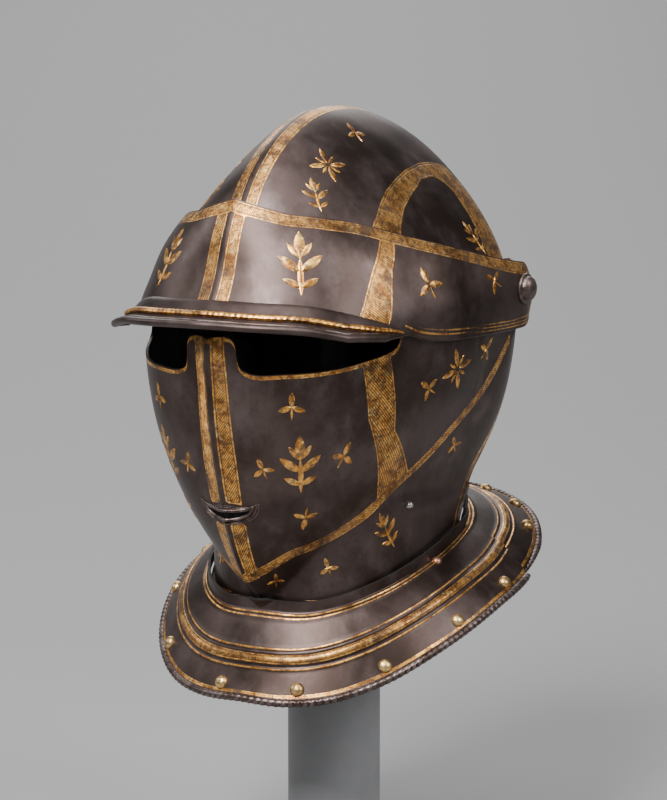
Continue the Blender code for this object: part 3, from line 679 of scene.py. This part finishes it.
# Visor: wall with a roped gilt molding on the peak and a rolled rim that dies into the arms.
def make_visor(count, rows):
    outer = belt(VISOR_EDGES, VISOR_D, count, rows, 0.0, VISOR_HUG)
    inner = belt(VISOR_EDGES, VISOR_D, count, rows, PLATE, VISOR_HUG)
    base, under = outer[:, 0], inner[:, 0]
    ahead = np.concatenate([base[1:] - base[:-1], [mirror(base[-2]) - base[-1]]])
    behind = np.concatenate([ahead[:1], base[1:] - base[:-1]])
    along = unit((ahead + behind) * np.array([1, 1, 0]))
    out = np.stack([-along[:, 1], along[:, 0], 0 * along[:, 0]], axis=-1) * -1.0
    out = np.where((out[:, :1] * base[:, :1] + out[:, 1:2] * base[:, 1:2]) < 0, -out, out)
    out[-1] = (0, -1, 0)
    x = np.abs(base[:, 0])
    stand, fall_ = table(x, PEAK, 1), table(x, PEAK, 2)
    down = np.array([0, 0, -1.0])
    k = np.minimum(1.0, stand / 10)
    arm = np.clip((x - 86) / 5, 0, 1)[:, None]

    def at(u, w, lower=0.0):
        return base + out * (u * stand)[:, None] + down * (w * fall_ + lower)[:, None]

    top = [at(u, w) for u, w in ((0.05, 0.03), (0.14, 0.13), (0.25, 0.29), (0.35, 0.43), (0.45, 0.55), (0.55, 0.64),
                                 (0.66, 0.74), (0.78, 0.84), (0.86, 0.9))]
    c = base + out * (stand - 2.2 * k)[:, None] + down * (fall_ - 1.2 * k)[:, None]
    r = (2.3 * (0.3 + 0.7 * k))[:, None]
    rim = [c + r * (math.sin(a) * out - math.cos(a) * down) for a in np.radians(np.arange(-10, 191, 25))]
    back = [at(u, w, 1.7 * k) for u, w in ((0.8, 0.9), (0.6, 0.74), (0.4, 0.55), (0.2, 0.29), (0.0, 0.1))]
    form = np.stack(top + rim + back, axis=1)
    turn = np.linspace(0, np.pi, form.shape[1] + 2)[1:-1][None, :, None]
    mid, half = ((base + under) / 2)[:, None], ((base - under) / 2)[:, None]
    form = form * (1 - arm[:, None]) + (mid + half * np.cos(turn) + down * 0.8 * np.sin(turn)) * arm[:, None]
    low, high, run_ = across(outer)
    side = inside_outline(outer[..., 1], outer[..., 2], VISOR_BAND)
    line, where = stripes(outer)
    rear = np.clip((run_ - 12) / 6, 0, 1) * 6 - 3
    bottom = np.clip((88 - np.abs(outer[..., 0])) / -4, -1, 1) * 4
    border = np.minimum(np.minimum(high - 0.8, 8.2 - high), rear)
    lines = [(np.minimum(np.minimum(low - a, a + 0.9 - low), bottom), run_) for a in (1.2, 3.2, 5.2)]
    depth, hatch = gild([(border, run_ * 0.8 + high), (np.minimum(line, high - 8.2), where),
                         (np.minimum(side, high - 8.2), (outer[..., 1] + outer[..., 2]) * 0.8)] + lines)
    blank, edge = np.full(inner.shape[:2], FAR), np.full(form.shape[:2], FAR)
    ring = np.concatenate([outer[:, ::-1], form, inner], axis=1)
    depth = np.concatenate([depth[:, ::-1], edge, blank], axis=1)
    hatch = np.concatenate([hatch[:, ::-1], edge, blank], axis=1)
    obj = sheet("visor_shell", both(ring, True), both(depth), both(hatch), rows + form.shape[1] - 4, PLATE_MATS)
    keep = x < 87.5
    crest = at(0.46, 0.56, -0.55)[keep]
    pale = (c + down * (-2.3 * k)[:, None] + out * -1.9)[keep]
    return obj, both(crest, True), both((0.35 + 1.45 * k)[keep]), both(pale, True), both(k[keep])


visor, crest, crest_r, rim_line, rim_k = make_visor(170, 46)
finish(visor, "visor_body", ["visor"])


def respace(points, step, *others):
    s = length_along(points)
    t = np.linspace(0, s[-1], int(s[-1] / step))
    result = [np.stack([np.interp(t, s, points[:, k]) for k in range(3)], axis=-1)]
    return result + [np.interp(t, s, o) for o in others]


UP = np.array([[0, 0, 1.0]])
crest, crest_r = respace(crest, 0.8, crest_r)
finish(tube("peak_rope", crest, UP.repeat(len(crest), 0), crest_r * 1.3, gold_mat, 12, 3.4, 0.06, flat=0.8),
       "visor_body", [])
rim_line, rim_k = respace(rim_line, 1.2, rim_k)
finish(tube("peak_rim_line", rim_line, UP.repeat(len(rim_line), 0), 0.55 * rim_k + 0.1, edge_mat, 8),
       "visor_body", [])


# Neck plates: collar, roped rib and rolled rim, front plate over the rear one.
def neck_point(phi, t):
    phi, t = np.asarray(phi, float), np.asarray(t, float)
    c, s = np.cos(np.radians(phi)), np.sin(np.radians(phi))
    at = np.abs(np.mod(phi + 180, 360) - 180)
    nz, ez = curve(at, NECK_Z), curve(at, EDGE_Z)
    rise = COLLAR_H * np.clip(1 - t / 0.12, 0, 1)
    rn = plan_radius(phi, nz + rise, COLLAR_D + NAPE_EASE * np.clip((at - 140) / 30, 0, 1))
    re = oval(c, s, EDGE_HALF, np.where(c > 0, EDGE_FRONT, EDGE_REAR), 2.1)
    u = np.clip((t - 0.12) / 0.88, 0, 1)
    side = np.clip(at / 80, 0, 1) * np.clip((200 - at) / 60, 0, 1)
    x = rn * s * (1 - u) + re * s * u
    y = (NECK_Y - rn * c) * (1 - u) + (EDGE_Y - re * c) * u
    z = nz + (ez - nz) * (u - 0.14 * side * np.sin(np.pi * u)) + rise
    return np.stack(np.broadcast_arrays(x, y, z), axis=-1)


def neck_normal(phi, t):
    t = np.minimum(t, 0.97)
    du = neck_point(phi + 0.5, t) - neck_point(phi - 0.5, t)
    dv = neck_point(phi, t + 0.03) - neck_point(phi, np.maximum(t - 0.03, 0.0))
    return unit(np.cross(dv, du))


def swell(t, middle, half, height):
    return height * np.clip(1 - ((t - middle) / half) ** 2, 0, 1)


def make_neck(name, seam, sink, count, inset):
    k = np.linspace(-1, 1, count)[:, None]
    t0 = np.concatenate([np.linspace(0, 0.2, 16, endpoint=False), np.linspace(0.2, 0.5, 12, endpoint=False),
                         np.linspace(0.5, 0.72, 22, endpoint=False), np.linspace(0.72, 0.97, 14)])[None]
    edge = table(t0, seam, 1)
    narrow = np.clip((np.abs(k) - 0.72) / 0.2, 0, 1)
    phi = k * edge if inset is None else 180 + k * (180 - edge)
    scale = 1.0 + 0 * k if inset is None else 1 - inset * narrow
    t = t0 * scale
    p, nrm = neck_point(phi, t), neck_normal(phi, t)
    rise = (swell(t0, 0.605, 0.062, 1.5) + swell(t0, 0.505, 0.012, 0.35) + swell(t0, 0.7, 0.012, 0.35)
            + swell(t0, 0.155, 0.012, 0.45) + swell(t0, 0.195, 0.012, 0.45))[..., None]
    top, under = p - nrm * (sink - rise), p - nrm * (sink + PLATE - rise * 0.7)
    last = k * seam[-1][1] if inset is None else 180 + k * (180 - seam[-1][1])
    bead_r = (BEAD_R if inset is None else BEAD_R - 1.3 * narrow) + 0 * k
    nb = neck_normal(last, 0.97)
    out = unit(neck_point(last, scale) - neck_point(last, 0.9 * scale))
    centre = neck_point(last, scale) - nb * (sink + PLATE / 2)
    a = np.radians(np.arange(10, 171, 20))[None, :, None]
    bead = centre + bead_r[..., None] * (np.cos(a) * nb + np.sin(a) * out)
    ring = np.concatenate([top, bead, under[:, ::-1]], axis=1)
    s = across(top)[0]
    run_ = length_along(top[:, 40])[:, None] + 0 * s

    def band(low, high):
        at = [np.array([np.interp(v, t0[0], row) for row in s])[:, None] for v in (low, high)]
        return np.minimum(s - at[0], at[1] - s)

    bands = [(band(0.56, 0.65), run_ + s), (band(0.495, 0.515), run_), (band(0.69, 0.71), run_),
             (band(0.145, 0.166), run_), (band(0.185, 0.205), run_), (band(0.93, 0.96), run_)]
    depth, hatch = gild(bands)
    blank = np.full((count, bead.shape[1] + under.shape[1]), FAR)
    obj = sheet(name, ring, np.concatenate([depth, blank], axis=1), np.concatenate([hatch, blank], axis=1),
                top.shape[1] + bead.shape[1] - 1, PLATE_MATS)
    return obj, centre[:, 0], nb[:, 0], bead_r[:, 0]


front_neck, rim, rim_n, rim_r = make_neck("neck_plate_front", FRONT_SEAM, 0.0, 250, None)
finish(front_neck, "bevor_body", ["gorget_front"])
rear_neck, rim2, rim2_n, rim2_r = make_neck("neck_plate_rear", REAR_SEAM, REAR_SINK, 150, 0.04)
finish(rear_neck, "skull_body", ["gorget_rear"])
for name, line, nrm, r, body in (("rim_rope_front", rim, rim_n, rim_r, "bevor_body"),
                                 ("rim_rope_rear", rim2, rim2_n, rim2_r, "skull_body")):
    line, nx, ny, nz, r = respace(line, 0.75, nrm[:, 0], nrm[:, 1], nrm[:, 2], r)
    finish(tube(name, line, np.stack([nx, ny, nz], axis=-1), r * 1.04, edge_mat, 14, 4.2, 0.1), body, [], 60)


# Rivets, pivots, stud and stand, each in place of its solid. Domes are given by radius and height.
LINING_DOME, JOIN_DOME, STUD_DOME = (4.1, 3.1), (2.9, 2.1), (2.5, 3.4)
DOME = [(0, -0.3), (1, -0.3), (1.02, 0.02), (0.99, 0.22), (0.9, 0.5), (0.72, 0.76), (0.46, 0.93), (0.2, 1.0), (0, 1.02)]

PIVOT_DOME = [(0, 0.1), (9.2, 0.1), (9.3, 0.8), (9.0, 1.5), (7.9, 1.9), (7.5, 2.2), (7.3, 3.4), (6.3, 4.9), (4.4, 6.0),
              (2.0, 6.5), (0, 6.6)]


def dome(name, point, normal, r, height, material, segments=22):
    return turned(name, [(a * r, b * height if b > 0 else b) for a, b in DOME], material, segments, point, normal)


for i, phi in enumerate(LINING_FRONT):
    finish(dome("brass_rivet_front_%d" % (i + 1), neck_point(phi, LINING_T), neck_normal(phi, LINING_T),
                *LINING_DOME, brass_mat),
           "bevor_body", ["lining_rivet_front_%d" % (i + 1)])
for i, phi in enumerate(LINING_REAR):
    nrm = neck_normal(phi, LINING_REAR_T)
    finish(dome("brass_rivet_rear_%d" % (i + 1), neck_point(phi, LINING_REAR_T) - nrm * REAR_SINK, nrm,
                *LINING_DOME, brass_mat),
           "skull_body", ["lining_rivet_rear_%d" % (i + 1)])
for side, name in ((1, "left"), (-1, "right")):
    finish(dome("copper_rivet_" + name, neck_point(side * JOIN_PHI, JOIN_T), neck_normal(side * JOIN_PHI, JOIN_T),
                *JOIN_DOME, copper_mat),
           "bevor_body", ["join_rivet_" + name])
    face = HALF_WIDTH + VISOR_D + ARM_OUT[-1]
    profile = [(r, face + h) for r, h in PIVOT_DOME]
    finish(turned("pivot_dome_" + name, profile, edge_mat, 40, (0, 0, 0), (side, 0, 0)),
           "skull_body", ["pivot_" + name])
bevor_tree = surface_tree(bevor)
stud_at, stud_n = drop(bevor_tree, (68.0, -65.0, -125.5), (0.95, -0.3, -0.1))
finish(dome("catch_stud_head", stud_at, stud_n, *STUD_DOME, bright_mat), "bevor_body", ["catch_stud"])

# The stand's profile from its underside to the pad below the crown.
PAD_TOP = PIVOT_Z + 104.5
STAND = [(0, 0), (93, 0), (95, 1), (95, 9.5), (94, 11.3), (92, 12), (31, 12), (29.2, 12.6), (28.5, 14.5), (28.5, 210.5),
         (28, 212.6), (26, 214), (8.6, 214), (8, 214.8)]
STAND += [(r, PAD_TOP - h) for r, h in ((8, 27), (16, 22.6), (17, 21), (17, 16), (15.6, 12.6), (13, 9), (7.5, 4), (0, 1.5))]
finish(turned("post_stand", STAND, post_mat, 96, (0, 0, 0), (0, 0, 1), False), "skull_body", ["stand"], 50)

# Gilt ornament: sprays and rosettes of plain leaves laid on the plates, in place of the
# figures that the photographed helmet has there. Each leaf is (x, y, angle, length, width).
SPRAY = [(0, -0.5, 90, 0.62, 0.11), (0, 0.08, 90, 0.44, 0.2), (0, -0.12, 38, 0.42, 0.17), (0, -0.12, 142, 0.42, 0.17),
         (0, -0.36, 28, 0.3, 0.13), (0, -0.36, 152, 0.3, 0.13), (0, 0.1, 52, 0.3, 0.12), (0, 0.1, 128, 0.3, 0.12)]
ROSETTE = [(0.06 * math.cos(math.radians(a)), 0.06 * math.sin(math.radians(a)), a, *((0.27, 0.1) if a % 90 else (0.44, 0.17)))
           for a in range(0, 360, 45)]
TREFOIL = [(0, 0, 90, 0.5, 0.26), (0, 0, 200, 0.46, 0.24), (0, 0, -20, 0.46, 0.24), (0, -0.02, -90, 0.42, 0.1)]
ORNAMENTS = {
    "visor_body": (visor, [(SPRAY, (43, -151, 22.6), 38, 0), (TREFOIL, (90, -88, 8.4), 21, 20),
                           (TREFOIL, (100, -34, 6), 17, 60)]),
    "face_guard_body": (guard, [(SPRAY, (43.5, -152, -90), 35, 4), (TREFOIL, (44, -162, -56), 17, 0),
                                (TREFOIL, (25, -162, -93), 15, 20), (TREFOIL, (60.7, -133.5, -86), 18, -20),
                                (TREFOIL, (39, -139, -123), 17, 180), (ROSETTE, (94, -61, -42), 27, 20),
                                (TREFOIL, (88.5, -83.6, -51.5), 17, 60), (TREFOIL, (98, -33, -33), 17, -40)]),
    "bevor_body": (bevor, [(SPRAY, (59, -80, -138), 25, 30), (TREFOIL, (36.8, -109, -157.8), 13, 20),
                           (TREFOIL, (12.5, -127, -165.5), 12, 10), (TREFOIL, (77.8, -29.8, -92.9), 14, 30)]),
    "skull_body": (skull, [(ROSETTE, (29.7, -97, 75.6), 25, 0), (TREFOIL, (25.4, -58, 92.6), 17, 0),
                           (SPRAY, (34.5, -118, 60), 24, 0), (SPRAY, (84, -14, 31), 24, 20)])}


def leaf(tree, centre, right, up_, nrm, x, y, angle, length, width, lift):
    a = math.radians(angle)
    ahead, beside = np.array([math.cos(a), math.sin(a)]), np.array([-math.sin(a), math.cos(a)])
    rings = []
    for t in np.linspace(0, 1, 9):
        half = max(0.03, width / 2 * math.sin(math.pi * min(1, t * 0.97 + 0.015)) ** 0.75)
        ring = []
        for off, h in ((half, 0.02), (half * 0.45, lift * 0.8), (0, lift), (-half * 0.45, lift * 0.8), (-half, 0.02), (0, -0.3)):
            q = np.array([x, y]) + ahead * t * length + beside * off
            p, nor = drop(tree, centre + right * q[0] + up_ * q[1], nrm, h)
            ring.append(p)
        rings.append(ring)
    return rings


for body, (obj, places) in ORNAMENTS.items():
    tree = surface_tree(obj)
    verts, faces = [], []
    for kind, at, size, turn in places:
        for side in (1, -1):
            guess = np.array([at[0] * side, at[1], at[2]], float)
            nrm = unit(guess * np.array([1.4, 0.8, 0.6]))
            spot, nrm = drop(tree, guess, nrm)
            spot, nrm = drop(tree, guess, nrm)
            up_ = unit(np.array([0, 0, 1.0]) - nrm * nrm[2])
            right = np.cross(up_, nrm) * side
            c, s = math.cos(math.radians(turn)), math.sin(math.radians(turn))
            right, up_ = right * c + up_ * s, up_ * c - right * s
            for x, y, angle, length, width in kind:
                rings = leaf(tree, spot, right, up_, nrm, x * size, y * size, angle, length * size, width * size * 0.82, 0.34)
                start, m = len(verts), len(rings[0])
                verts += [p for ring in rings for p in ring]
                for i in range(len(rings) - 1):
                    for j in range(m):
                        k = (j + 1) % m
                        faces.append([start + i * m + j, start + i * m + k, start + (i + 1) * m + k, start + (i + 1) * m + j])
                faces.append([start + j for j in range(m)])
                faces.append([start + (len(rings) - 1) * m + m - 1 - j for j in range(m)])
    piece = new_mesh("gilt_leaves_" + body.replace("_body", ""), verts, faces, [gold_mat])
    flip_outward(piece)
    finish(piece, body, [], 50)

# Stage: a pale seamless sweep, soft lights and the camera at the photograph's angle.
CAMERA_AT = np.array([0.78043515, -1.39087226 + PIVOT_Y * MM, 0.14925081 + PIVOT_Z * MM])
BACK = np.array([0.49513403, -0.8575973, 0.1391731])
RIGHT = np.array([0.8660254, 0.5, 0.0])
BEND = 2.2
sweep = [(-4.0, 0.0), (0.5, 0.0)]
sweep += [(0.5 + BEND * math.sin(a), BEND - BEND * math.cos(a)) for a in np.linspace(0.08, math.pi / 2, 24)]
sweep += [(0.5 + BEND, 5.0)]
view = np.array([-BACK[0], -BACK[1]]) / math.hypot(BACK[0], BACK[1])
across_ = np.array([view[1], -view[0]])
verts = [tuple(view * d + across_ * w) + (h,) for d, h in sweep for w in (-5.0, 5.0)]
floor = bpy.data.meshes.new("studio_sweep")
strips = [[2 * i, 2 * i + 1, 2 * i + 3, 2 * i + 2] for i in range(len(sweep) - 1)]
floor.from_pydata(verts, [], strips)
floor.polygons.foreach_set("use_smooth", [True] * len(floor.polygons))
paper = bpy.data.materials.new("pale_paper")
paper.use_nodes = True
paper_bsdf = paper.node_tree.nodes["Principled BSDF"]
paper_bsdf.inputs["Base Color"].default_value = (0.30, 0.30, 0.30, 1)
paper_bsdf.inputs["Roughness"].default_value = 0.9
floor.materials.append(paper)
floor_obj = bpy.data.objects.new("studio_sweep", floor)
bpy.context.scene.collection.objects.link(floor_obj)


def area(name, azimuth, elevation, distance, size, power, colour=(1, 1, 1)):
    a, e = math.radians(azimuth), math.radians(elevation)
    target = Vector((0, 0, 0.36))
    at = target + distance * Vector((math.sin(a) * math.cos(e), -math.cos(a) * math.cos(e), math.sin(e)))
    light = bpy.data.lights.new(name, "AREA")
    light.shape, light.size, light.energy, light.color = "SQUARE", size, power, colour
    obj = bpy.data.objects.new(name, light)
    bpy.context.scene.collection.objects.link(obj)
    obj.location = at
    obj.rotation_euler = (target - at).to_track_quat("-Z", "Y").to_euler()


area("key_light", 4, 42, 1.7, 0.6, 52)
area("side_light", 86, 32, 1.9, 0.7, 22)
area("top_light", 20, 78, 1.6, 0.9, 14)
area("left_light", -75, 25, 1.9, 0.7, 7)
area("back_light", 215, 40, 2.2, 1.6, 30)
world = bpy.data.worlds.new("studio")
bpy.context.scene.world = world
world.use_nodes = True
sky = world.node_tree.nodes["Background"]
sky.inputs["Color"].default_value = (0.9, 0.95, 1.0, 1)
sky.inputs["Strength"].default_value = 0.10

lens = bpy.data.cameras.new("camera")
lens.lens, lens.sensor_width, lens.sensor_height, lens.sensor_fit = 116.64, 36, 36, "AUTO"
camera = bpy.data.objects.new("camera", lens)
bpy.context.scene.collection.objects.link(camera)
up_axis = np.cross(BACK, RIGHT)
camera.matrix_world = Matrix([[RIGHT[i], up_axis[i], BACK[i], CAMERA_AT[i]] for i in range(3)] + [[0, 0, 0, 1]])
bpy.context.scene.camera = camera
